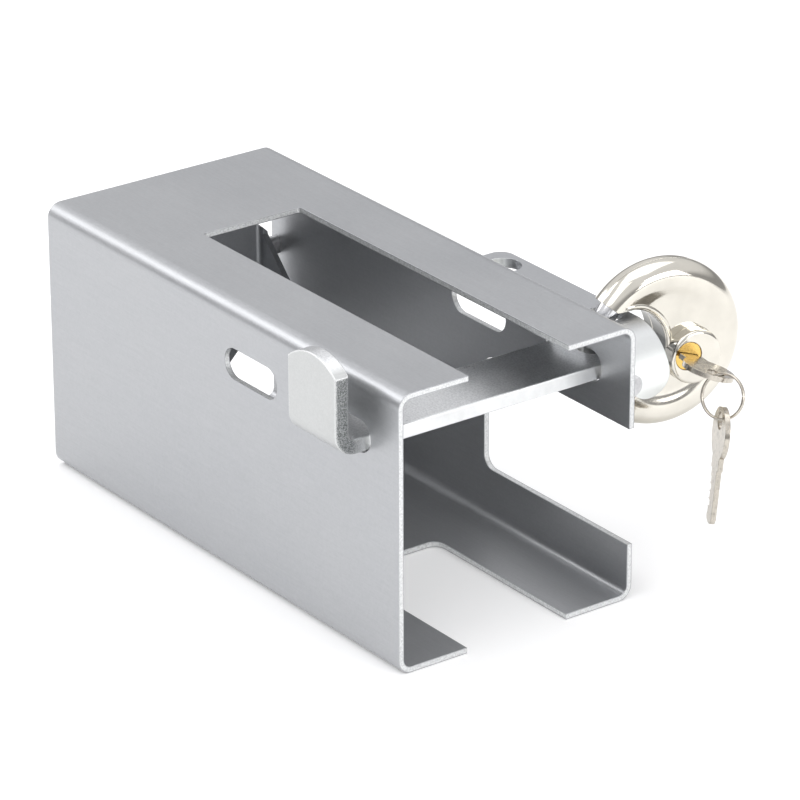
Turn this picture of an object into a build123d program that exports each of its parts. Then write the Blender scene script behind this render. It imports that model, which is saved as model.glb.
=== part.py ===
from build123d import *
import os
from math import cos, sin, radians, sqrt, pi

# Trailer coupler lock: a bent steel box that slips over a tow coupler, a hooked
# flat bar that crosses it, and a round stainless padlock that holds the bar.
#
# Frame: +X out of the open mouth, +Y towards the side with the welded ear,
# +Z up.  The origin is on the mouth plane, on the box's centre plane, at the
# level of the underside.  Millimetres.

# ---------------------------------------------------------------- box shell
BOX_W, BOX_H, BOX_L = 110.0, 113.0, 234.0
SHEET = 2.3                     # steel sheet
BEND_R = 5.9                    # outside bend radius
TOP_SLOT_W, TOP_SLOT_L = 46.4, 171.6
LOW_SLOT_W, LOW_SLOT_L = 47.0, 81.4
NOTCH_X, NOTCH_Z0, NOTCH_Z1 = 89.8, 22.8, 71.0      # hand notch in the +Y wall
SLOT_L, SLOT_H, SLOT_Z = 34.6, 13.0, 89.2           # cross-bar slots
SLOT_X = (-34.3, -93.8)

# ---------------------------------------------------------------- back stop
STOP_X = -BOX_L                 # rear face of the stop plate
STOP_HALF = 47.5                # half width over the two side flanges
STOP_TOP = BOX_H - SHEET
STOP_MID, STOP_DIAG = 60.0, 65.7                    # plate's centre height, half diagonal
FLANGE_TIP = -212.0                                 # front tip of each folded corner
FOLD_X = -229.4                                     # where the fold's curve ends
FLANGE_FRONT = -205.0

# ---------------------------------------------------------------- ear bracket
EAR_T = 4.0
EAR_TOP = 103.2
EAR_Y0, EAR_Y1 = BOX_W / 2, BOX_W / 2 + 20.6
EAR_REAR = -107.8
EAR_BEND_X, EAR_BEND_R = -24.6, 21.0                # start of the nose bend, outside radius
EAR_END_Z, EAR_END_R = 89.4, 10.2                   # rounded end of the nose
EAR_HOLE_R = 7.2
EAR_HOLES = ((-33.3, 66.5), (-95.0, 65.7))

# ---------------------------------------------------------------- locking bar
BAR_W, BAR_T = 30.0, 6.0
BAR_X1 = -19.3
BAR_X0 = BAR_X1 - BAR_W
BAR_Z0 = 84.6
BAR_END_Y = 76.0
BAR_HOLE_R = 7.2
BAR_HOLE_X, BAR_HOLE_Y = -33.9, 62.8
HOOK_FACE_Y = -69.0             # outer face of the upturned hook
HOOK_TOP, HOOK_SAG = 121.9, 5.8  # crown height, drop of the crown at its ends
HOOK_BEND_R = 9.0               # outside radius of the hook bend

# ---------------------------------------------------------------- padlock
PC = (-28.3, 89.9, 88.1)        # centre of the round body
YAW = -9.8                      # turn of the body about Z
N_DIR = (cos(radians(YAW)), sin(radians(YAW)), 0)
H_DIR = (-sin(radians(YAW)), cos(radians(YAW)), 0)
RIM_R, TUBE_R = 33.8, 6.5       # outside radius, radius of the rim's section
CREST_R = RIM_R - TUBE_R
DISH_D, DISH_R = 4.8, 18.0      # half thickness and radius of the flat centre
SKIN = 1.0                      # shell thickness
BACK_EXT = 1.8                  # straight rim wall that deepens the back half
SEAM = 0.12                     # half gap of the rim seam
THROAT_H, THROAT_R = -17.2, 17.7
LINER_T = 1.0
COLLAR_T, COLLAR_D = 1.2, 12.5  # wall and rear face of the collar behind the throat
LOBE_ANG = 141.0                # polar angle where each lobe ends
SH_R, SH_ROD = 27.6, 4.5        # shackle arc radius, rod radius
SH_A0, SH_A1 = 119.0, 330.0     # shackle tip and tail at rest
KEY_TILT = -20.0                # angle of the key's width in the body's plane
W_DIR = (cos(radians(KEY_TILT)), sin(radians(KEY_TILT)))
PLUG_C = (7.1, -4.0)
PLUG_R = 5.5
BOSS_OFF = 3.85
BOSS_C = (PLUG_C[0] + BOSS_OFF * W_DIR[0], PLUG_C[1] + BOSS_OFF * W_DIR[1])
BOSS_R, BOSS_TOP = 11.0, 10.3
CUP_R, CUP_BACK = 12.0, -13.0   # bulge on the back shell
CYL_R = 9.75
PIN_R = 1.0
CORE_RIVETS = ((-3.0, 19.6), (17.6, 9.6), (3.2, -19.6))
PIN_D = (7.0, 4.0, 1.0, -2.0, -5.0)                 # tumbler stations
CUTS = (1.0, 2.0, 1.4, 2.4, 0.8)                    # key cut depths

# ---------------------------------------------------------------- keys
BOW_R, KEY_T, BLADE_W, BLADE_L = 10.3, 2.0, 7.6, 21.0
SHOULDER_L, SHOULDER_W = 5.0, 10.4
BOW_HOLE_OFF, BOW_HOLE_R = 5.0, 3.5
KEY_OUT = 1.4                   # shoulder's stand-off from the plug face
RING_R, RING_WIRE = 8.7, 0.5    # split ring: mean radius, wire radius
RING_C = (8.358, 91.155, 77.385)                    # ring centre
RING_E1, RING_E2 = (0.88174, 0.42672, 0.20104), (0.32589, -0.24293, -0.91366)   # in-plane directions
RING_N = (-0.34114, 0.87111, -0.35326)              # ring axis
SPARE_HOLE = (11.245, 88.938, 68.95)                # bow hole of the hanging key
SPARE_UP, SPARE_FACE = (-0.1037, 0.2077, 0.9727), (0.464, 0.8751, -0.1374)


def pad(d=0.0):
    """Plane parallel to the padlock's face, d millimetres out from its middle."""
    return Plane(origin=(PC[0] + N_DIR[0] * d, PC[1] + N_DIR[1] * d, PC[2]),
                 x_dir=H_DIR, z_dir=N_DIR)


def pad_pt(h, z, d):
    """World point of padlock coordinates."""
    return (PC[0] + H_DIR[0] * h + N_DIR[0] * d,
            PC[1] + H_DIR[1] * h + N_DIR[1] * d, PC[2] + z)


W_VEC = (H_DIR[0] * W_DIR[0], H_DIR[1] * W_DIR[0], W_DIR[1])        # across the key blade


def cross(a, b):
    return (a[1] * b[2] - a[2] * b[1], a[2] * b[0] - a[0] * b[2], a[0] * b[1] - a[1] * b[0])


def tumbler(d, r):
    """Plane across a tumbler bore at depth d, r millimetres from the plug's axis."""
    x, y, z = pad_pt(PLUG_C[0] + W_DIR[0] * r, PLUG_C[1] + W_DIR[1] * r, d)
    return Plane(origin=(x, y, z), x_dir=N_DIR, z_dir=W_VEC)


KEY_PLANE = Plane(origin=pad_pt(PLUG_C[0], PLUG_C[1], BOSS_TOP - 0.2 + KEY_OUT), x_dir=W_VEC,
                  z_dir=cross(W_VEC, N_DIR))
BOW_Y = SHOULDER_L + sqrt(BOW_R ** 2 - (SHOULDER_W / 2) ** 2)      # bow centre above the shoulder
SPARE_PLANE = Plane(origin=[SPARE_HOLE[i] - SPARE_UP[i] * (BOW_Y + BOW_HOLE_OFF) for i in range(3)],
                    x_dir=cross(SPARE_UP, SPARE_FACE), z_dir=SPARE_FACE)
PROFILE = Plane(origin=PC, x_dir=H_DIR, z_dir=(0, 0, -1))   # local x radial, y outward
PAD_AXIS = Axis(PC, N_DIR)
CY = BOX_W / 2
os.makedirs("parts", exist_ok=True)

# ================================================================ box shell
with BuildPart() as box_shell:
    with BuildSketch(Plane.YZ.offset(-BOX_L)) as sec:
        with Locations((0, BOX_H / 2)):
            RectangleRounded(BOX_W, BOX_H, BEND_R)
            RectangleRounded(BOX_W - 2 * SHEET, BOX_H - 2 * SHEET, BEND_R - SHEET, mode=Mode.SUBTRACT)
    extrude(amount=BOX_L)
    # top slot, open at the mouth
    with BuildSketch(Plane.XY.offset(BOX_H - SHEET - 1)) as ts:
        with Locations((-TOP_SLOT_L / 2 + 5, 0)):
            RectangleRounded(TOP_SLOT_L + 10, TOP_SLOT_W, 1.6)
    extrude(amount=SHEET + 3, mode=Mode.SUBTRACT)
    # slot in the floor
    with BuildSketch(Plane.XY.offset(-1)) as ls:
        with Locations((-LOW_SLOT_L / 2 + 10, 0)):
            RectangleRounded(LOW_SLOT_L + 20, LOW_SLOT_W, 5.0)
    extrude(amount=SHEET + 2, mode=Mode.SUBTRACT)
    # hand notch in the +Y wall, with rounded corners at its mouth
    with BuildSketch(Plane.XZ.offset(-CY - 1)) as ns:
        with BuildLine():
            Polyline((-NOTCH_X, NOTCH_Z0), (0, NOTCH_Z0), (0, NOTCH_Z0 - 6), (10, NOTCH_Z0 - 6),
                     (10, NOTCH_Z1 + 4), (0, NOTCH_Z1 + 4), (0, NOTCH_Z1), (-NOTCH_X, NOTCH_Z1), close=True)
        make_face()
        fillet(ns.vertices().filter_by_position(Axis.X, -NOTCH_X - 0.1, -NOTCH_X + 0.1), 5.5)
        fillet(ns.vertices().filter_by_position(Axis.X, -0.1, 0.1).filter_by(lambda v: abs(v.Z - NOTCH_Z0) < 0.01), 5.0)
        fillet(ns.vertices().filter_by_position(Axis.X, -0.1, 0.1).filter_by(lambda v: abs(v.Z - NOTCH_Z1) < 0.01), 2.4)
    extrude(amount=SHEET + 2, mode=Mode.SUBTRACT)
    # two pairs of cross-bar slots, in line through both walls
    with BuildSketch(Plane.XZ.offset(-CY - 1)) as ss:
        with Locations(*[(x, SLOT_Z) for x in SLOT_X]):
            SlotOverall(SLOT_L, SLOT_H)
    extrude(amount=BOX_W + 2, mode=Mode.SUBTRACT)
box_shell.part.label = "box_shell"
export_step(box_shell.part, "parts/box_shell.step")

# ================================================================ back stop
# a square plate stood on its corner: its side corners fold forward as flanges,
# its top and bottom corners are trimmed to the box
with BuildPart() as back_stop:
    with BuildSketch(Plane.XY.offset(SHEET)) as bs:
        with BuildLine():
            FilletPolyline((FLANGE_FRONT, -STOP_HALF), (STOP_X, -STOP_HALF), (STOP_X, STOP_HALF),
                           (FLANGE_FRONT, STOP_HALF), radius=4.6)
            FilletPolyline((FLANGE_FRONT, -STOP_HALF + SHEET), (STOP_X + SHEET, -STOP_HALF + SHEET),
                           (STOP_X + SHEET, STOP_HALF - SHEET), (FLANGE_FRONT, STOP_HALF - SHEET), radius=2.3)
            Line((FLANGE_FRONT, -STOP_HALF), (FLANGE_FRONT, -STOP_HALF + SHEET))
            Line((FLANGE_FRONT, STOP_HALF), (FLANGE_FRONT, STOP_HALF - SHEET))
        make_face()
    extrude(amount=STOP_TOP - SHEET)
    # flanges taper to a point at 45 degrees
    with BuildSketch(Plane.XZ.offset(-STOP_HALF - 1)) as dg:
        with BuildLine():
            Polyline((-190, STOP_MID), (FLANGE_TIP, STOP_MID), (FOLD_X, STOP_MID + FOLD_X * -1 + FLANGE_TIP),
                     (FOLD_X, 130), (-190, 130), close=True)
        make_face()
        with BuildLine():
            Polyline((-190, STOP_MID), (FLANGE_TIP, STOP_MID), (FOLD_X, STOP_MID + FOLD_X - FLANGE_TIP),
                     (FOLD_X, -10), (-190, -10), close=True)
        make_face()
    extrude(amount=2 * STOP_HALF + 2, mode=Mode.SUBTRACT)
    # the same 45 degree edges across the plate
    with BuildSketch(Plane.YZ.offset(STOP_X - 1)) as rl:
        for sy in (-1, 1):
            for sz in (-1, 1):
                with BuildLine():
                    Polyline((0, STOP_MID + sz * STOP_DIAG), (sy * 52.0, STOP_MID + sz * (STOP_DIAG - 52.0)),
                             (sy * 60.0, STOP_MID + sz * (STOP_DIAG - 52.0)), (sy * 60.0, STOP_MID + sz * (STOP_DIAG + 6)),
                             (0, STOP_MID + sz * (STOP_DIAG + 6)), close=True)
                make_face()
    extrude(amount=FOLD_X - STOP_X + 1, mode=Mode.SUBTRACT)
back_stop.part.label = "back_stop"
export_step(back_stop.part, "parts/back_stop.step")

# ================================================================ ear bracket
with BuildPart() as ear_bracket:
    with BuildSketch(Plane.XZ.offset(-EAR_Y0)) as es:
        with BuildLine():
            zt, zb, xb = EAR_TOP, EAR_TOP - EAR_T, EAR_BEND_X
            zc = EAR_TOP - EAR_BEND_R
            xf = xb + EAR_BEND_R
            zend = EAR_END_Z - EAR_END_R
            Line((EAR_REAR, zt), (xb, zt))
            RadiusArc((xb, zt), (xf, zc), EAR_BEND_R)
            Line((xf, zc), (xf, zend))
            Line((xf, zend), (xf - EAR_T, zend))
            Line((xf - EAR_T, zend), (xf - EAR_T, zc))
            RadiusArc((xf - EAR_T, zc), (xb, zb), -(EAR_BEND_R - EAR_T))
            Line((xb, zb), (EAR_REAR, zb))
            Line((EAR_REAR, zb), (EAR_REAR, zt))
        make_face()
    extrude(amount=-(EAR_Y1 - EAR_Y0))
    # full-round end of the nose
    with BuildSketch(Plane.YZ.offset(-18)) as er:
        with BuildLine():
            ym = (EAR_Y0 + EAR_Y1) / 2
            hw = (EAR_Y1 - EAR_Y0) / 2
            Line((ym - hw, EAR_END_Z), (ym - hw, EAR_END_Z - EAR_END_R - 3))
            Line((ym - hw, EAR_END_Z - EAR_END_R - 3), (ym + hw, EAR_END_Z - EAR_END_R - 3))
            Line((ym + hw, EAR_END_Z - EAR_END_R - 3), (ym + hw, EAR_END_Z))
            ThreePointArc((ym + hw, EAR_END_Z), (ym, EAR_END_Z - EAR_END_R), (ym - hw, EAR_END_Z))
        make_face()
    extrude(amount=30, mode=Mode.SUBTRACT)
    # rounded rear corner
    with BuildSketch(Plane.XY.offset(EAR_TOP - EAR_T - 1)) as ec:
        with BuildLine():
            rc = 6.0
            Line((EAR_REAR, EAR_Y1), (EAR_REAR + rc, EAR_Y1))
            RadiusArc((EAR_REAR + rc, EAR_Y1), (EAR_REAR, EAR_Y1 - rc), -rc)
            Line((EAR_REAR, EAR_Y1 - rc), (EAR_REAR, EAR_Y1))
        make_face()
        with Locations(*EAR_HOLES):
            Circle(EAR_HOLE_R)
    extrude(amount=EAR_T + 2, mode=Mode.SUBTRACT)
ear_bracket.part.label = "ear_bracket"
export_step(ear_bracket.part, "parts/ear_bracket.step")

# weld beads that hold the ear: short runs under the plate and one at the nose
with BuildPart() as ear_welds:
    for x0, x1 in ((-104.0, -80.0), (-66.0, -54.0)):
        with BuildSketch(Plane.YZ.offset(x0)) as w1:
            with BuildLine():
                zb = EAR_TOP - EAR_T
                Line((EAR_Y0, zb), (EAR_Y0 + 3.2, zb))
                ThreePointArc((EAR_Y0 + 3.2, zb), (EAR_Y0 + 1.3, zb - 1.3), (EAR_Y0, zb - 3.2))
                Line((EAR_Y0, zb - 3.2), (EAR_Y0, zb))
            make_face()
        extrude(amount=x1 - x0)
    with BuildSketch(Plane.YZ.offset(EAR_BEND_X + EAR_BEND_R)) as w2:
        with Locations((EAR_Y0 + 0.2, 87.0)):
            Ellipse(5.2, 4.6)
        with Locations((EAR_Y0 - 10, 87.0)):
            Rectangle(20, 20, mode=Mode.SUBTRACT)
    extrude(amount=1.5)
ear_welds.part.label = "ear_welds"
export_step(ear_welds.part, "parts/ear_welds.step")

# ================================================================ locking bar
with BuildPart() as locking_bar:
    with BuildSketch(Plane.YZ.offset(BAR_X0)) as bsec:
        with BuildLine():
            y0, z0, t = HOOK_FACE_Y, BAR_Z0, BAR_T
            Line((BAR_END_Y, z0), (y0 + HOOK_BEND_R, z0))
            RadiusArc((y0 + HOOK_BEND_R, z0), (y0, z0 + HOOK_BEND_R), HOOK_BEND_R)
            Line((y0, z0 + HOOK_BEND_R), (y0, HOOK_TOP))
            Line((y0, HOOK_TOP), (y0 + t, HOOK_TOP))
            Line((y0 + t, HOOK_TOP), (y0 + t, z0 + HOOK_BEND_R))
            RadiusArc((y0 + t, z0 + HOOK_BEND_R), (y0 + HOOK_BEND_R, z0 + t), -(HOOK_BEND_R - t))
            Line((y0 + HOOK_BEND_R, z0 + t), (BAR_END_Y, z0 + t))
            Line((BAR_END_Y, z0 + t), (BAR_END_Y, z0))
        make_face()
    extrude(amount=BAR_W)
    # crowned top of the hook
    with BuildSketch(Plane.XZ.offset(-HOOK_FACE_Y + 1)):
        with BuildLine():
            xm = (BAR_X0 + BAR_X1) / 2
            Line((BAR_X0, HOOK_TOP - HOOK_SAG), (BAR_X0 - 1, HOOK_TOP - HOOK_SAG))
            Line((BAR_X0 - 1, HOOK_TOP - HOOK_SAG), (BAR_X0 - 1, HOOK_TOP + 2))
            Line((BAR_X0 - 1, HOOK_TOP + 2), (BAR_X1 + 1, HOOK_TOP + 2))
            Line((BAR_X1 + 1, HOOK_TOP + 2), (BAR_X1 + 1, HOOK_TOP - HOOK_SAG))
            Line((BAR_X1 + 1, HOOK_TOP - HOOK_SAG), (BAR_X1, HOOK_TOP - HOOK_SAG))
            ThreePointArc((BAR_X1, HOOK_TOP - HOOK_SAG), (xm, HOOK_TOP), (BAR_X0, HOOK_TOP - HOOK_SAG))
        make_face()
    extrude(amount=-(BAR_T + 2), mode=Mode.SUBTRACT)
    # rounded far end
    fillet(locking_bar.edges().filter_by(Axis.Z).filter_by_position(Axis.Y, BAR_END_Y - 0.1, BAR_END_Y + 0.1), 7.0)
    # shackle hole
    with Locations((BAR_HOLE_X, BAR_HOLE_Y, BAR_Z0 + BAR_T)):
        Hole(BAR_HOLE_R, depth=BAR_T)
    # rolled edges of the flat bar
    fillet(locking_bar.edges().filter_by(Axis.Y).filter_by_position(Axis.Z, BAR_Z0 - 0.1, BAR_Z0 + BAR_T + 0.1), 0.6)
locking_bar.part.label = "locking_bar"
export_step(locking_bar.part, "parts/locking_bar.step")

# ================================================================ padlock shells


def half_section(front, inset):
    """Closed radial section of the round body, inset from its outer surface."""
    s, m = (1, 0) if front else (-1, -BACK_EXT)
    d0, dc = m + s * (DISH_D - inset), TUBE_R - inset
    Line((0, 0), (0, d0))
    Line((0, d0), (DISH_R, d0))
    Spline((DISH_R, d0), (CREST_R, m + s * dc), tangents=[(1, 0), (1, 0)])
    ThreePointArc((CREST_R, m + s * dc), (CREST_R + dc * cos(pi / 4), m + s * dc * sin(pi / 4)), (CREST_R + dc, m))
    if m:
        Line((CREST_R + dc, m), (CREST_R + dc, 0))
    Line((CREST_R + dc, 0), (0, 0))


def bite(extra, mode=Mode.ADD):
    """Outline of the throat and of the gap between the lobes."""
    with Locations((THROAT_H, 0)):
        Circle(THROAT_R + extra, mode=mode)
    with BuildLine(mode=Mode.PRIVATE) as gap:
        a = radians(LOBE_ANG)
        zt = THROAT_R + extra
        far = 60
        Polyline((THROAT_H, zt), (zt * cos(a) / sin(a), zt), (far * cos(a), far * sin(a)), (-far, far * sin(a)),
                 (-far, -far * sin(a)), (far * cos(a), -far * sin(a)), (zt * cos(a) / sin(a), -zt), (THROAT_H, -zt),
                 close=True)
    make_face(gap.edges(), mode=mode)


with BuildPart() as padlock_front_shell:
    with BuildSketch(PROFILE):
        with BuildLine():
            half_section(True, 0)
        make_face()
    revolve(axis=PAD_AXIS)
    with BuildSketch(PROFILE):
        with BuildLine():
            half_section(True, SKIN)
        make_face()
    revolve(axis=PAD_AXIS, mode=Mode.SUBTRACT)
    with BuildSketch(pad(-1)):
        Circle(40)
    extrude(amount=1 + SEAM, mode=Mode.SUBTRACT)
    with BuildSketch(pad(-10)):
        bite(0)
    extrude(amount=30, mode=Mode.SUBTRACT)
    with BuildSketch(pad(2)):
        with Locations(BOSS_C):
            Circle(BOSS_R + 0.03)
    extrude(amount=10, mode=Mode.SUBTRACT)
padlock_front_shell.part.label = "padlock_front_shell"
export_step(padlock_front_shell.part, "parts/padlock_front_shell.step")

with BuildPart() as padlock_back_shell:
    with BuildSketch(PROFILE):
        with BuildLine():
            half_section(False, 0)
        make_face()
    revolve(axis=PAD_AXIS)
    # cup that houses the rear of the cylinder
    with BuildSketch(pad(CUP_BACK)):
        with Locations(BOSS_C):
            Circle(CUP_R)
    extrude(amount=-CUP_BACK - 1)
    fillet(padlock_back_shell.faces().sort_by(PAD_AXIS)[0].edges(), 2.2)
    with BuildSketch(PROFILE):
        with BuildLine():
            half_section(False, SKIN)
        make_face()
    revolve(axis=PAD_AXIS, mode=Mode.SUBTRACT)
    with BuildSketch(pad(CUP_BACK + SKIN)):
        with Locations(BOSS_C):
            Circle(CUP_R - SKIN - 0.2)
    extrude(amount=-CUP_BACK - SKIN, mode=Mode.SUBTRACT)
    with BuildSketch(pad(1)):
        Circle(40)
    extrude(amount=-1 - SEAM, mode=Mode.SUBTRACT)
    with BuildSketch(pad(-20)):
        bite(0)
    extrude(amount=30, mode=Mode.SUBTRACT)
padlock_back_shell.part.label = "padlock_back_shell"
export_step(padlock_back_shell.part, "parts/padlock_back_shell.step")

# polished liner of the throat, held between the two shells
with BuildPart() as throat_liner:
    with BuildSketch(pad(-(DISH_D + BACK_EXT - SKIN - 0.02))):
        Circle(SH_R - SH_ROD - 0.7)
        with Locations((THROAT_H, 0)):
            Circle(THROAT_R + LINER_T, mode=Mode.INTERSECT)
            Circle(THROAT_R, mode=Mode.SUBTRACT)
    extrude(amount=2 * (DISH_D - SKIN - 0.02) + BACK_EXT)
throat_liner.part.label = "throat_liner"
export_step(throat_liner.part, "parts/throat_liner.step")

# collar round the throat behind the back shell
with BuildPart() as throat_collar:
    with BuildSketch(pad(-DISH_D - BACK_EXT)):
        Circle(SH_R - SH_ROD - 0.8)
        with Locations((THROAT_H, 0)):
            Circle(THROAT_R + COLLAR_T, mode=Mode.INTERSECT)
            Circle(THROAT_R, mode=Mode.SUBTRACT)
        with Locations(BOSS_C):
            Circle(CUP_R + 0.05, mode=Mode.SUBTRACT)
    extrude(amount=-(COLLAR_D - DISH_D - BACK_EXT))
    with BuildSketch(PROFILE):
        with BuildLine():
            half_section(False, -0.03)
        make_face()
    revolve(axis=PAD_AXIS, mode=Mode.SUBTRACT)
throat_collar.part.label = "throat_collar"
export_step(throat_collar.part, "parts/throat_collar.step")

# hardened rings that guide the shackle at the two lobe ends
with BuildPart() as shackle_guides:
    with BuildSketch(PROFILE):
        with Locations((CREST_R, -BACK_EXT / 2)):
            Circle(TUBE_R - SKIN - 0.03)
        with Locations((SH_R, -BACK_EXT / 2)):
            Circle(SH_ROD + 0.08, mode=Mode.SUBTRACT)
    revolve(axis=PAD_AXIS)
    with BuildSketch(pad(-10)):
        Circle(45)
        with BuildLine() as wedge_up:
            Polyline((0, 0), (60 * cos(radians(LOBE_ANG - 0.5)), 60 * sin(radians(LOBE_ANG - 0.5))),
                     (60 * cos(radians(LOBE_ANG - 13)), 60 * sin(radians(LOBE_ANG - 13))), close=True)
        make_face(wedge_up.edges(), mode=Mode.SUBTRACT)
        with BuildLine() as wedge_dn:
            Polyline((0, 0), (60 * cos(radians(LOBE_ANG - 0.5)), -60 * sin(radians(LOBE_ANG - 0.5))),
                     (60 * cos(radians(LOBE_ANG - 13)), -60 * sin(radians(LOBE_ANG - 13))), close=True)
        make_face(wedge_dn.edges(), mode=Mode.SUBTRACT)
        Rectangle(90, 2 * (THROAT_R + LINER_T + 0.1))
    extrude(amount=20, mode=Mode.SUBTRACT)
shackle_guides.part.label = "shackle_guides"
export_step(shackle_guides.part, "parts/shackle_guides.step")

# ================================================================ shackle
SH_PLANE = Plane(origin=PC, x_dir=(H_DIR[0] * cos(radians(SH_A0)), H_DIR[1] * cos(radians(SH_A0)), sin(radians(SH_A0))),
                 z_dir=(H_DIR[0] * sin(radians(SH_A0)), H_DIR[1] * sin(radians(SH_A0)), -cos(radians(SH_A0))))
with BuildPart() as shackle:
    with BuildSketch(SH_PLANE):
        with Locations((SH_R, -BACK_EXT / 2)):
            Circle(SH_ROD)
    revolve(axis=PAD_AXIS, revolution_arc=SH_A1 - SH_A0)
    chamfer(shackle.faces().filter_by(GeomType.PLANE).edges(), 0.9)
shackle.part.label = "shackle"
export_step(shackle.part, "parts/shackle.step")

# ================================================================ lock works
# core plate that ties the shells together
with BuildPart() as lock_core:
    with BuildSketch(pad(-(DISH_D + BACK_EXT - SKIN - 0.05))):
        Circle(SH_R - SH_ROD - 0.7)
        with Locations((THROAT_H, 0)):
            Circle(THROAT_R + LINER_T + 0.05, mode=Mode.SUBTRACT)
        with Locations(BOSS_C):
            Circle(CYL_R + 0.05, mode=Mode.SUBTRACT)
        with Locations(*CORE_RIVETS):
            Circle(1.55, mode=Mode.SUBTRACT)
        with Locations((0, 0)):
            Circle(SH_R - SH_ROD - 0.7, mode=Mode.INTERSECT)
    extrude(amount=2 * (DISH_D - SKIN - 0.05) + BACK_EXT)
lock_core.part.label = "lock_core"
export_step(lock_core.part, "parts/lock_core.step")

with BuildPart() as core_rivets:
    with BuildSketch(pad(-(DISH_D + BACK_EXT - SKIN - 0.05))):
        with Locations(*CORE_RIVETS):
            Circle(1.5)
    extrude(amount=2 * (DISH_D - SKIN - 0.05) + BACK_EXT)
core_rivets.part.label = "core_rivets"
export_step(core_rivets.part, "parts/core_rivets.step")

# raised collar round the key plug, trimmed flush with the throat
with BuildPart() as key_boss:
    with BuildSketch(pad(DISH_D - SKIN + 0.1)):
        with Locations(BOSS_C):
            Circle(BOSS_R)
    extrude(amount=BOSS_TOP - DISH_D + SKIN - 0.1)
    fillet(key_boss.faces().sort_by(PAD_AXIS)[-1].edges(), 1.5)
    with BuildSketch(pad(0)):
        with Locations(BOSS_C):
            Circle(CYL_R + 0.05)
    extrude(amount=BOSS_TOP - 1.0, mode=Mode.SUBTRACT)
    with BuildSketch(pad(0)):
        with Locations(PLUG_C):
            Circle(PLUG_R + 0.25)
        with Locations((THROAT_H, 0)):
            Circle(THROAT_R)
    extrude(amount=20, mode=Mode.SUBTRACT)
key_boss.part.label = "key_boss"
export_step(key_boss.part, "parts/key_boss.step")

# brass cylinder with its row of tumbler bores
with BuildPart() as cylinder_body:
    with BuildSketch(pad(CUP_BACK + SKIN + 0.3)):
        with Locations(BOSS_C):
            Circle(CYL_R)
        with Locations(PLUG_C):
            Circle(PLUG_R + 0.06, mode=Mode.SUBTRACT)
        with Locations((THROAT_H, 0)):
            Circle(THROAT_R + LINER_T + 0.05, mode=Mode.SUBTRACT)
    extrude(amount=BOSS_TOP - 1.05 - CUP_BACK - SKIN - 0.3)
    for d in PIN_D:
        with BuildSketch(tumbler(d, 0)):
            Circle(PIN_R + 0.05)
        extrude(amount=BOSS_OFF + CYL_R - 1.0, mode=Mode.SUBTRACT)
cylinder_body.part.label = "cylinder_body"
export_step(cylinder_body.part, "parts/cylinder_body.step")

with BuildPart() as plug:
    with BuildSketch(pad(-10.6)):
        with Locations(PLUG_C):
            Circle(PLUG_R)
    extrude(amount=BOSS_TOP - 0.2 + 10.6)
    with BuildSketch(pad(-10.0)):
        with Locations(Location((PLUG_C[0], PLUG_C[1], 0), (0, 0, KEY_TILT))):
            Rectangle(BLADE_W + 0.5, KEY_T + 0.3)
    extrude(amount=25, mode=Mode.SUBTRACT)
    for d in PIN_D:
        with BuildSketch(tumbler(d, 0)):
            Circle(PIN_R + 0.05)
        extrude(amount=PLUG_R + 1, mode=Mode.SUBTRACT)
plug.part.label = "plug"
export_step(plug.part, "parts/plug.step")

# tumblers: key pins ride on the cuts, driver pins wait in the cylinder
with BuildPart() as key_pins:
    for d, c in zip(PIN_D, CUTS):
        with BuildSketch(tumbler(d, BLADE_W / 2 - c + 0.57)):
            Circle(PIN_R)
        extrude(amount=PLUG_R - BLADE_W / 2 + c - 0.71)
        with BuildSketch(tumbler(d, BLADE_W / 2 - c + 0.02)):
            Circle(PIN_R - 0.55)
        with BuildSketch(tumbler(d, BLADE_W / 2 - c + 0.57)):
            Circle(PIN_R)
        loft()
key_pins.part.label = "key_pins"
export_step(key_pins.part, "parts/key_pins.step")

with BuildPart() as driver_pins:
    for d in PIN_D:
        with BuildSketch(tumbler(d, PLUG_R + 0.14)):
            Circle(PIN_R)
        extrude(amount=3.2)
driver_pins.part.label = "driver_pins"
export_step(driver_pins.part, "parts/driver_pins.step")

with BuildPart() as pin_springs:
    for d in PIN_D:
        with BuildSketch(tumbler(d, PLUG_R + 3.4)):
            Circle(PIN_R - 0.05)
            Circle(PIN_R - 0.4, mode=Mode.SUBTRACT)
        extrude(amount=BOSS_OFF + CYL_R - 1.0 - PLUG_R - 3.45)
pin_springs.part.label = "pin_springs"
export_step(pin_springs.part, "parts/pin_springs.step")

# retaining washer and cam on the plug's tail
with BuildPart() as plug_cam:
    with BuildSketch(pad(CUP_BACK + SKIN + 0.06)):
        with Locations(PLUG_C):
            Circle(3.2)
    extrude(amount=-10.62 - CUP_BACK - SKIN - 0.06)
plug_cam.part.label = "plug_cam"
export_step(plug_cam.part, "parts/plug_cam.step")


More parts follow.
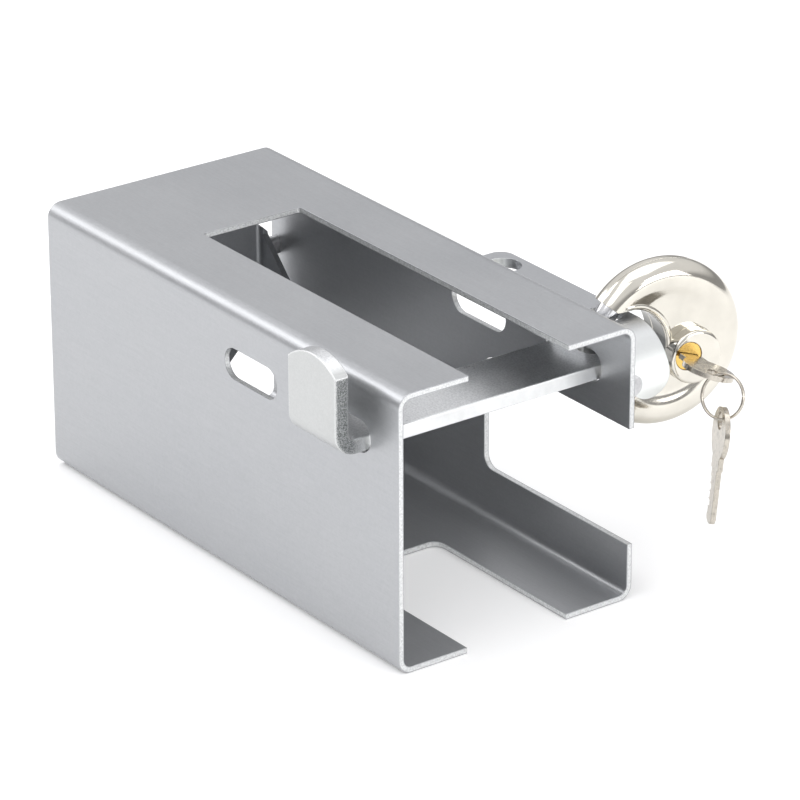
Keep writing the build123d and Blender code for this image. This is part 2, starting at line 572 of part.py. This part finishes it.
# ================================================================ keys
def key_outline():
    """Key in its own plane: x across the blade, y from the shoulder to the bow."""
    r, hw = BOW_R, BLADE_W / 2
    yb = BOW_Y
    pts = [(SHOULDER_W / 2, SHOULDER_L), (SHOULDER_W / 2, 0), (hw, 0)]
    for i, (d, c) in enumerate(zip(PIN_D, CUTS)):
        y = d - (BOSS_TOP - 0.2 + KEY_OUT)
        pts += [(hw - 0.1, y + 1.45), (hw - c, y + 0.9), (hw - c, y - 0.9), (hw - 0.1, y - 1.45)]
    pts += [(hw - 0.6, -BLADE_L + 1.2), (0.6, -BLADE_L), (-hw + 1.6, -BLADE_L), (-hw, -BLADE_L + 2.0), (-hw, 0),
            (-SHOULDER_W / 2, 0), (-SHOULDER_W / 2, SHOULDER_L)]
    with BuildLine(mode=Mode.PRIVATE) as out:
        Polyline(*pts)
        ThreePointArc((-SHOULDER_W / 2, SHOULDER_L), (0, yb + r), (SHOULDER_W / 2, SHOULDER_L))
    make_face(out.edges())
    with Locations((0, yb + BOW_HOLE_OFF)):
        Circle(BOW_HOLE_R, mode=Mode.SUBTRACT)


with BuildPart() as inserted_key:
    with BuildSketch(KEY_PLANE.offset(-KEY_T / 2)):
        key_outline()
    extrude(amount=KEY_T)
inserted_key.part.label = "inserted_key"
export_step(inserted_key.part, "parts/inserted_key.step")

with BuildPart() as spare_key:
    with BuildSketch(SPARE_PLANE.offset(-KEY_T / 2)):
        key_outline()
    extrude(amount=KEY_T)
spare_key.part.label = "spare_key"
export_step(spare_key.part, "parts/spare_key.step")

# split ring, two turns of round wire side by side
with BuildPart() as key_ring:
    with BuildSketch(Plane(origin=RING_C, x_dir=RING_E1, z_dir=RING_E2)):
        with Locations((RING_R, 0.4), (RING_R, -0.4)):
            Circle(RING_WIRE)
    revolve(axis=Axis(RING_C, RING_N), revolution_arc=359.0)
key_ring.part.label = "key_ring"
export_step(key_ring.part, "parts/key_ring.step")

# ================================================================ back stop welds
with BuildPart() as stop_welds:
    x = STOP_X + SHEET
    for z, s, y0, y1 in ((SHEET, 1, -7.0, 7.0), (BOX_H - SHEET, -1, -14.0, -4.0), (BOX_H - SHEET, -1, 4.0, 14.0)):
        with BuildSketch(Plane.XZ.offset(-y0)):
            with BuildLine() as bead:
                Line((x, z), (x + 3, z))
                ThreePointArc((x + 3, z), (x + 1.3, z + s * 1.3), (x, z + s * 3))
                Line((x, z + s * 3), (x, z))
            make_face(bead.edges())
        extrude(amount=-(y1 - y0))
    # short fills between each fold and the wall beside it
    for side in (-1, 1):
        with BuildSketch(Plane.XZ.offset(-side * STOP_HALF)):
            with Locations((-230.4, 71.0)):
                RectangleRounded(4.2, 8.0, 2.0)
        extrude(amount=-side * (CY - SHEET - STOP_HALF))
stop_welds.part.label = "stop_welds"
export_step(stop_welds.part, "parts/stop_welds.step")
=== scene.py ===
import math

import bmesh
import bpy
from mathutils import Matrix, Vector


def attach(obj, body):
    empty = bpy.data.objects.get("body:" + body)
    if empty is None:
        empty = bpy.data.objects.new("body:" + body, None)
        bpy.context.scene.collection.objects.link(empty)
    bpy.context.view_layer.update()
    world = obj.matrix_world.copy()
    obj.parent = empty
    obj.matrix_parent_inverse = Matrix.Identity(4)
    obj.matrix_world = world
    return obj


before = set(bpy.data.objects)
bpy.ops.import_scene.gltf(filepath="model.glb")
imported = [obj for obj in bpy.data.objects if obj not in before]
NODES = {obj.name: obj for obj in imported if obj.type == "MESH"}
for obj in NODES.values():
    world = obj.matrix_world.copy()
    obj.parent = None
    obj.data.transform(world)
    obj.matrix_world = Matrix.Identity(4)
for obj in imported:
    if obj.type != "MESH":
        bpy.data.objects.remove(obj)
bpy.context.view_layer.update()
SCENE = bpy.context.scene
SCENE.view_settings.view_transform = "Standard"


# ------------------------------------------------------------------ camera
cam_data = bpy.data.cameras.new("camera")
cam = bpy.data.objects.new("camera", cam_data)
SCENE.collection.objects.link(cam)
RIGHT = Vector((0.592993, 0.805204, -0.002573))
DOWN = Vector((0.325891, -0.242922, -0.913665))
AHEAD = Vector((-0.736315, 0.540913, -0.406508))
rot = Matrix((RIGHT, -DOWN, -AHEAD)).transposed().to_4x4()
cam.matrix_world = Matrix.Translation((1.306176, -1.013800, 0.832692)) @ rot
cam_data.sensor_width = 36.0
cam_data.lens = 221.37
cam_data.clip_end = 50.0
SCENE.camera = cam


# ------------------------------------------------------------------ node helpers
class Mat:
    """A Principled material with short calls for its procedural parts."""

    def __init__(self, name, metallic=1.0, rough=0.4, ior=1.5, spec=0.5, coat=0.0, coat_rough=0.1, aniso=0.0):
        self.m = bpy.data.materials.new(name)
        self.m.use_nodes = True
        self.t = self.m.node_tree
        self.n = self.t.nodes
        self.l = self.t.links
        self.bsdf = self.n["Principled BSDF"]
        b = self.bsdf.inputs
        b["Metallic"].default_value = metallic
        b["Roughness"].default_value = rough
        b["IOR"].default_value = ior
        b["Specular IOR Level"].default_value = spec
        b["Coat Weight"].default_value = coat
        b["Coat Roughness"].default_value = coat_rough
        b["Anisotropic"].default_value = aniso
        self.co = self.n.new("ShaderNodeTexCoord")
        self.height = None

    def coord(self, scale=(1, 1, 1), rot=(0, 0, 0), loc=(0, 0, 0)):
        mp = self.n.new("ShaderNodeMapping")
        mp.inputs["Scale"].default_value = scale
        mp.inputs["Rotation"].default_value = rot
        mp.inputs["Location"].default_value = loc
        self.l.new(self.co.outputs["Object"], mp.inputs["Vector"])
        return mp.outputs["Vector"]

    def noise(self, scale, detail=3.0, rough=0.55, vec=None, distort=0.0):
        t = self.n.new("ShaderNodeTexNoise")
        t.inputs["Scale"].default_value = scale
        t.inputs["Detail"].default_value = detail
        t.inputs["Roughness"].default_value = rough
        t.inputs["Distortion"].default_value = distort
        self.l.new(vec or self.co.outputs["Object"], t.inputs["Vector"])
        return t.outputs["Fac"]

    def voronoi(self, scale, feature="F1", out="Color", vec=None, rand=1.0):
        t = self.n.new("ShaderNodeTexVoronoi")
        t.feature = feature
        t.inputs["Scale"].default_value = scale
        t.inputs["Randomness"].default_value = rand
        self.l.new(vec or self.co.outputs["Object"], t.inputs["Vector"])
        return t.outputs[out]

    def ramp(self, fac, stops, mode="LINEAR"):
        r = self.n.new("ShaderNodeValToRGB")
        r.color_ramp.interpolation = mode
        e = r.color_ramp.elements
        while len(e) < len(stops):
            e.new(0.5)
        for el, (p, c) in zip(e, stops):
            el.position = p
            el.color = c if isinstance(c, tuple) else (c, c, c, 1.0)
        self.l.new(fac, r.inputs["Fac"])
        return r.outputs["Color"]

    def rng(self, fac, a, b, lo, hi):
        r = self.n.new("ShaderNodeMapRange")
        for k, v in (("From Min", a), ("From Max", b), ("To Min", lo), ("To Max", hi)):
            r.inputs[k].default_value = v
        self.l.new(fac, r.inputs["Value"])
        return r.outputs["Result"]

    def math(self, op, a, b=None):
        m = self.n.new("ShaderNodeMath")
        m.operation = op
        for i, v in enumerate((a, b)):
            if v is None:
                continue
            if isinstance(v, (int, float)):
                m.inputs[i].default_value = v
            else:
                self.l.new(v, m.inputs[i])
        return m.outputs[0]

    def mix(self, fac, a, b, blend="MIX"):
        m = self.n.new("ShaderNodeMix")
        m.data_type = "RGBA"
        m.blend_type = blend
        for k, v in ((0, fac), (6, a), (7, b)):
            if isinstance(v, (int, float)):
                m.inputs[k].default_value = v
            elif isinstance(v, tuple):
                m.inputs[k].default_value = v
            else:
                self.l.new(v, m.inputs[k])
        return m.outputs[2]

    def xyz(self, vec=None):
        s = self.n.new("ShaderNodeSeparateXYZ")
        self.l.new(vec or self.co.outputs["Object"], s.inputs[0])
        return s.outputs

    def normal_xyz(self):
        g = self.n.new("ShaderNodeNewGeometry")
        s = self.n.new("ShaderNodeSeparateXYZ")
        self.l.new(g.outputs["Normal"], s.inputs[0])
        return s.outputs

    def color(self, c):
        if isinstance(c, tuple):
            self.bsdf.inputs["Base Color"].default_value = c
        else:
            self.l.new(c, self.bsdf.inputs["Base Color"])

    def rough(self, r):
        self.l.new(r, self.bsdf.inputs["Roughness"])

    def metal(self, r):
        self.l.new(r, self.bsdf.inputs["Metallic"])

    def bump(self, h, dist, strength=1.0, before=None):
        b = self.n.new("ShaderNodeBump")
        b.inputs["Distance"].default_value = dist
        b.inputs["Strength"].default_value = strength
        self.l.new(h, b.inputs["Height"])
        prev = self.bsdf.inputs["Normal"].links
        if prev:
            self.l.new(prev[0].from_socket, b.inputs["Normal"])
        self.l.new(b.outputs["Normal"], self.bsdf.inputs["Normal"])

    def round_edges(self, radius):
        b = self.n.new("ShaderNodeBevel")
        b.samples = 6
        b.inputs["Radius"].default_value = radius
        self.l.new(b.outputs["Normal"], self.bsdf.inputs["Normal"])


def assign(obj, mat):
    obj.data.materials.clear()
    obj.data.materials.append(mat.m)
    for p in obj.data.polygons:
        p.material_index = 0


# ------------------------------------------------------------------ materials
def cut_mask(m):
    """1 between the two skins of the bent sheet, so on its sheared edges, and 0 on its faces."""
    x, y, z = m.xyz()
    half_y, half_z, bend = 0.055, 0.0565, 0.0059
    qy = m.math("SUBTRACT", m.math("ABSOLUTE", y), half_y - bend)
    qz = m.math("SUBTRACT", m.math("ABSOLUTE", m.math("SUBTRACT", z, half_z)), half_z - bend)
    py, pz = m.math("MAXIMUM", qy, 0.0), m.math("MAXIMUM", qz, 0.0)
    out = m.math("SQRT", m.math("ADD", m.math("MULTIPLY", py, py), m.math("MULTIPLY", pz, pz)))
    low = m.math("MINIMUM", m.math("MAXIMUM", qy, qz), 0.0)
    depth = m.math("SUBTRACT", bend, m.math("ADD", out, low))
    return m.math("MULTIPLY", m.math("GREATER_THAN", depth, 0.00032), m.math("LESS_THAN", depth, 0.00198))


def sheet_steel(name, tone=1.0, streak_axis="X", edges=False, nose_painted_highlight=False):
    m = Mat(name, metallic=0.92, rough=0.42)
    m.round_edges(0.0004)
    cloud = m.noise(9.0, 4.0, 0.6)
    fine = m.noise(900.0, 2.0, 0.7)
    grain = m.noise(2600.0, 2.0, 0.6)
    lines = m.noise(60.0, 3.0, 0.6, vec=m.coord((1.0, 26.0, 26.0) if streak_axis == "X" else (26.0, 1.0, 26.0)))
    c = m.ramp(cloud, [(0.25, (0.475 * tone, 0.487 * tone, 0.507 * tone, 1)), (0.75, (0.535 * tone, 0.545 * tone, 0.56 * tone, 1))])
    c = m.mix(0.10, c, m.ramp(fine, [(0.3, 0.30), (0.7, 0.75)]))
    c = m.mix(0.05, c, m.ramp(lines, [(0.3, 0.3), (0.7, 0.8)]))
    r = m.math("ADD", m.rng(cloud, 0.3, 0.7, 0.37, 0.45), m.rng(fine, 0.3, 0.7, -0.04, 0.04))
    scuff = m.rng(m.voronoi(26.0, "DISTANCE_TO_EDGE", "Distance", vec=m.coord((1.0, 7.0, 7.0))), 0.0, 0.006, 1.0, 0.0)
    patch = m.rng(m.noise(14.0, 2.0, 0.5), 0.58, 0.66, 0.0, 1.0)
    c = m.mix(m.math("MULTIPLY", m.math("MULTIPLY", scuff, patch), 0.16), c, (0.80, 0.81, 0.83, 1))
    if edges:
        mask = cut_mask(m)
        bare = m.ramp(m.noise(1100.0, 3.0, 0.7), [(0.35, (0.60, 0.61, 0.61, 1)), (0.60, (0.80, 0.81, 0.81, 1))])
        c = m.mix(mask, c, bare)
        r = m.math("ADD", r, m.math("MULTIPLY", mask, 0.12))
    if nose_painted_highlight:
        # Faces turned toward +X are mixed toward near-white: painted highlight for light falling on the ear's front.
        c = m.mix(m.rng(m.normal_xyz()[0], 0.25, 0.9, 0.0, 0.85), c, (0.90, 0.92, 0.90, 1))
    m.color(c)
    m.rough(r)
    m.bump(grain, 0.00002, 0.5)
    m.bump(fine, 0.00004, 0.5)
    return m


def bar_steel(name):
    m = Mat(name, metallic=1.0, rough=0.30)
    m.round_edges(0.0006)
    fine = m.noise(1300.0, 3.0, 0.7)
    broad = m.noise(35.0, 3.0, 0.6)
    lines = m.noise(50.0, 4.0, 0.7, vec=m.coord((30.0, 1.0, 30.0)))
    nx, ny, nz = m.normal_xyz()
    side = m.rng(m.math("ABSOLUTE", nx), 0.72, 0.88, 0.0, 1.0)
    up = m.rng(nz, 0.80, 0.95, 0.0, 1.0)
    face = m.ramp(broad, [(0.3, (0.53, 0.54, 0.535, 1)), (0.7, (0.585, 0.595, 0.59, 1))])
    face = m.mix(0.10, face, m.ramp(lines, [(0.35, 0.45), (0.65, 0.90)]))
    # Up-facing faces take a lighter speckled tone: painted highlight on the bar's top.
    deck_painted_highlight = m.ramp(fine, [(0.36, (0.66, 0.67, 0.68, 1)), (0.64, (0.86, 0.87, 0.88, 1))])
    dark = m.ramp(m.noise(1900.0, 4.0, 0.75), [(0.42, (0.15, 0.16, 0.16, 1)), (0.66, (0.55, 0.56, 0.56, 1))])
    pale = m.ramp(m.noise(120.0, 3.0, 0.6), [(0.3, (0.72, 0.73, 0.73, 1)), (0.7, (0.84, 0.85, 0.85, 1))])
    edge = m.mix(m.rng(m.xyz()[1], -0.062, -0.055, 0.0, 1.0), dark, pale)
    c = m.mix(side, m.mix(up, face, deck_painted_highlight), edge)
    # Painted highlight on the bar's edges: where a wider bevel normal turns away from the true normal, the colour is
    # mixed toward near-white.
    rim_highlight_bevel = m.n.new("ShaderNodeBevel")
    rim_highlight_bevel.samples = 6
    rim_highlight_bevel.inputs["Radius"].default_value = 0.0011
    geo = m.n.new("ShaderNodeNewGeometry")
    dot = m.n.new("ShaderNodeVectorMath")
    dot.operation = "DOT_PRODUCT"
    m.l.new(rim_highlight_bevel.outputs["Normal"], dot.inputs[0])
    m.l.new(geo.outputs["Normal"], dot.inputs[1])
    m.color(m.mix(m.rng(dot.outputs["Value"], 0.995, 0.94, 0.0, 0.85), c, (0.93, 0.94, 0.94, 1)))
    r = m.rng(broad, 0.3, 0.7, 0.38, 0.46)
    r = m.math("ADD", r, m.math("MULTIPLY", up, -0.10))
    m.rough(m.math("ADD", r, m.rng(fine, 0.3, 0.7, -0.03, 0.04)))
    m.bump(fine, 0.00004, 0.5)
    m.bump(m.noise(160.0, 2.0, 0.5), 0.00012, 0.25)
    return m


def polished(name, color, rough=0.13, grain=0.3, scale=1.0, underside_painted_shade=None, worn=0.0):
    m = Mat(name, metallic=1.0, rough=rough)
    m.round_edges(0.0003)
    cloud = m.noise(60.0 * scale, 3.0, 0.6)
    fine = m.noise(1500.0 * scale, 2.0, 0.7)
    dk = tuple(v * 0.90 for v in color) + (1,)
    lt = tuple(min(1.0, v * 1.05) for v in color) + (1,)
    c = m.ramp(cloud, [(0.3, dk), (0.7, lt)])
    if worn:
        pits = m.rng(m.noise(420.0, 5.0, 0.75), 0.50, 0.66, 0.0, worn)
        c = m.mix(pits, c, tuple(v * 0.38 for v in color) + (1,))
        hair = m.rng(m.noise(220.0, 4.0, 0.7, vec=m.coord((9.0, 9.0, 1.0))), 0.56, 0.64, 0.0, worn)
        c = m.mix(hair, c, tuple(min(1.0, v * 1.35) for v in color) + (1,))
    if underside_painted_shade:
        # Downward-facing faces are mixed toward the darker underside colour: painted shade standing in for the dark
        # the padlock's underside reflects.
        c = m.mix(m.rng(m.normal_xyz()[2], -0.20, -0.80, 0.0, 0.80), c, underside_painted_shade + (1,))
    m.color(c)
    m.rough(m.math("ADD", m.rng(cloud, 0.3, 0.7, rough * 0.8, rough * 1.25), m.rng(fine, 0.3, 0.7, -0.02, 0.03)))
    m.bump(fine, 0.00002, grain)
    return m


MATS = {
    "box_shell": sheet_steel("sheet_steel", 0.90, edges=True),
    "back_stop": sheet_steel("stop_steel", 0.98),
    "ear_bracket": sheet_steel("ear_steel", 0.97, nose_painted_highlight=True),
    "locking_bar": bar_steel("bar_steel"),
}
WELD = Mat("weld_metal", metallic=0.9, rough=0.45)
WELD.color(WELD.ramp(WELD.noise(400.0), [(0.3, (0.50, 0.50, 0.51, 1)), (0.7, (0.72, 0.72, 0.73, 1))]))
WELD.bump(WELD.noise(350.0, 3.0), 0.0003, 0.6)
STAIN = polished("padlock_stainless", (0.72, 0.69, 0.62), 0.085, grain=0.12, underside_painted_shade=(0.40, 0.37, 0.30))
ROD = polished("shackle_steel", (0.72, 0.72, 0.73), 0.16)
CORE = polished("lock_steel", (0.5, 0.5, 0.51), 0.35)
BRASS = polished("lock_brass", (0.84, 0.56, 0.17), 0.22)
NICKEL = polished("key_nickel", (0.58, 0.54, 0.475), 0.18, scale=3.0, worn=0.5)
# The liner is stainless; its near-black tone is painted shade for the inside of the padlock's throat.
LINER = polished("liner_stainless", (0.24, 0.238, 0.225), 0.14)
POLY = Mat("liner_polymer", metallic=0.0, rough=0.5)
POLY.color(POLY.ramp(POLY.noise(300.0), [(0.3, 0.02), (0.7, 0.04)]))
for node in NODES:
    if node in MATS:
        assign(NODES[node], MATS[node])
    elif node in ("stop_welds", "ear_welds"):
        assign(NODES[node], WELD)
    elif node in ("padlock_front_shell", "padlock_back_shell", "key_boss"):
        assign(NODES[node], STAIN)
    elif node == "shackle":
        assign(NODES[node], ROD)
    elif node in ("plug", "cylinder_body", "driver_pins", "key_pins"):
        assign(NODES[node], BRASS)
    elif node in ("inserted_key", "spare_key", "key_ring"):
        assign(NODES[node], NICKEL)
    elif node in ("throat_liner", "throat_collar"):
        assign(NODES[node], LINER)
    elif node == "shackle_guides":
        assign(NODES[node], POLY)
    else:
        assign(NODES[node], CORE)

# ------------------------------------------------------------------ rolled lip of the padlock's throat
PC = Vector((-0.0283, 0.0899, 0.0881))
YAW = math.radians(-9.8)
N_DIR = Vector((math.cos(YAW), math.sin(YAW), 0.0))
H_DIR = Vector((-math.sin(YAW), math.cos(YAW), 0.0))
UP = Vector((0.0, 0.0, 1.0))


def pad_point(h, z, d):
    """Point of the padlock's own axes, given in millimetres."""
    return PC + (H_DIR * h + UP * z + N_DIR * d) * 0.001


def face_height(rho):
    """Height of the front shell's surface over the middle plane at a radius."""
    if rho <= 18.0:
        return 4.8
    if rho >= 27.3:
        return math.sqrt(max(0.0, 6.5 ** 2 - min(rho - 27.3, 6.4) ** 2))
    t = (rho - 18.0) / 9.3
    return 4.8 + 1.7 * (3 * t * t - 2 * t ** 3)


def throat_lip():
    bm = bmesh.new()
    rings = []
    steps, turns = 72, 14
    for i in range(steps + 1):
        t = math.radians(-94.0 + 188.0 * i / steps)
        taper = min(1.0, 0.45 + 0.11 * min(i, steps - i))
        ring = []
        for j in range(turns):
            a = 2 * math.pi * j / turns
            rad = 19.05 + 1.25 * taper * math.cos(a)
            h, z = -17.2 + rad * math.cos(t), rad * math.sin(t)
            mid = face_height(math.hypot(-17.2 + 19.05 * math.cos(t), 19.05 * math.sin(t)))
            ring.append(bm.verts.new(pad_point(h, z, mid - 0.05 + 0.75 * taper * math.sin(a))))
        rings.append(ring)
    for a, b in zip(rings, rings[1:]):
        for j in range(turns):
            bm.faces.new((a[j], b[j], b[(j + 1) % turns], a[(j + 1) % turns]))
    bm.faces.new(rings[0])
    bm.faces.new(list(reversed(rings[-1])))
    bmesh.ops.recalc_face_normals(bm, faces=bm.faces[:])
    for f in bm.faces:
        f.smooth = True
    me = bpy.data.meshes.new("throat_lip")
    bm.to_mesh(me)
    bm.free()
    o = bpy.data.objects.new("throat_lip", me)
    SCENE.collection.objects.link(o)
    o.data.materials.append(STAIN.m)
    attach(o, "padlock")
    return o


throat_lip()


def throat_skirt():
    """Turned-in edge that carries the throat's wall back behind the rim, clear of the shackle and the ear; its dark
    liner tone is painted shade for the hollow behind the rim.
    """
    bm = bmesh.new()
    rows = []
    steps = 48
    for i in range(steps + 1):
        t = math.radians(16.0 + 78.0 * i / steps)
        ease = min(1.0, 4.0 * i / steps) ** 0.5
        back = -8.8 - 4.2 * ease
        row = []
        for rad, d in ((17.75, -8.0), (17.75, back + 0.3), (18.0, back), (18.5, back), (18.75, back + 0.3), (18.75, -8.0)):
            row.append(bm.verts.new(pad_point(-17.2 + rad * math.cos(t), rad * math.sin(t), d)))
        rows.append(row)
    n = 6
    for a, b in zip(rows, rows[1:]):
        for j in range(n):
            bm.faces.new((a[j], b[j], b[(j + 1) % n], a[(j + 1) % n]))
    bm.faces.new(rows[0])
    bm.faces.new(list(reversed(rows[-1])))
    bmesh.ops.recalc_face_normals(bm, faces=bm.faces[:])
    me = bpy.data.meshes.new("throat_skirt")
    bm.to_mesh(me)
    bm.free()
    o = bpy.data.objects.new("throat_skirt", me)
    SCENE.collection.objects.link(o)
    o.data.materials.append(LINER.m)
    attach(o, "padlock")
    return o


throat_skirt()

# ------------------------------------------------------------------ floor, world and lights
bpy.ops.mesh.primitive_grid_add(x_subdivisions=4, y_subdivisions=4, size=14.0, location=(0, 0, -0.0002))
floor = bpy.context.object
floor.name = "floor"
FL = Mat("floor_paper", metallic=0.0, rough=0.9, spec=0.0)
FL.color(FL.ramp(FL.noise(3.0), [(0.0, 0.90), (1.0, 0.92)]))
FL.bsdf.inputs["Emission Color"].default_value = (1.0, 1.0, 1.0, 1.0)
FL.bsdf.inputs["Emission Strength"].default_value = 0.13
assign(floor, FL)

world = bpy.data.worlds.new("world")
SCENE.world = world
world.use_nodes = True
wn, wl = world.node_tree.nodes, world.node_tree.links
bg = wn["Background"]
tc = wn.new("ShaderNodeTexCoord")
sep = wn.new("ShaderNodeSeparateXYZ")
wl.new(tc.outputs["Generated"], sep.inputs[0])
rp = wn.new("ShaderNodeValToRGB")
e = rp.color_ramp.elements
e[0].position, e[0].color = 0.0, (0.42, 0.42, 0.43, 1)
e[1].position, e[1].color = 1.0, (0.98, 0.98, 1.0, 1)
for at, v in ((0.18, 0.40), (0.30, 0.66), (0.42, 0.92)):
    k = e.new(at)
    k.color = (v, v, v * 1.015, 1)
wl.new(sep.outputs["Z"], rp.inputs["Fac"])
wl.new(rp.outputs["Color"], bg.inputs["Color"])
bg.inputs["Strength"].default_value = 0.95


def area(name, loc, target, size, power, color=(1, 1, 1)):
    d = bpy.data.lights.new(name, "AREA")
    d.shape = "RECTANGLE"
    d.size, d.size_y = size
    d.energy = power
    d.color = color
    o = bpy.data.objects.new(name, d)
    SCENE.collection.objects.link(o)
    o.location = loc
    o.rotation_euler = (Vector(target) - Vector(loc)).to_track_quat("-Z", "Y").to_euler()
    return o


area("key_light", (0.6, -1.6, 2.2), (-0.1, 0, 0), (1.6, 1.6), 10)
area("top_light", (-0.3, 0.2, 2.4), (-0.1, 0, 0), (2.4, 2.4), 18)
area("left_light", (-1.9, -1.0, 1.45), (-0.1, 0, 0.05), (1.2, 1.2), 11)
area("front_light", (1.5, 0.5, 0.6), (-0.05, 0.05, 0.07), (0.8, 0.8), 8)
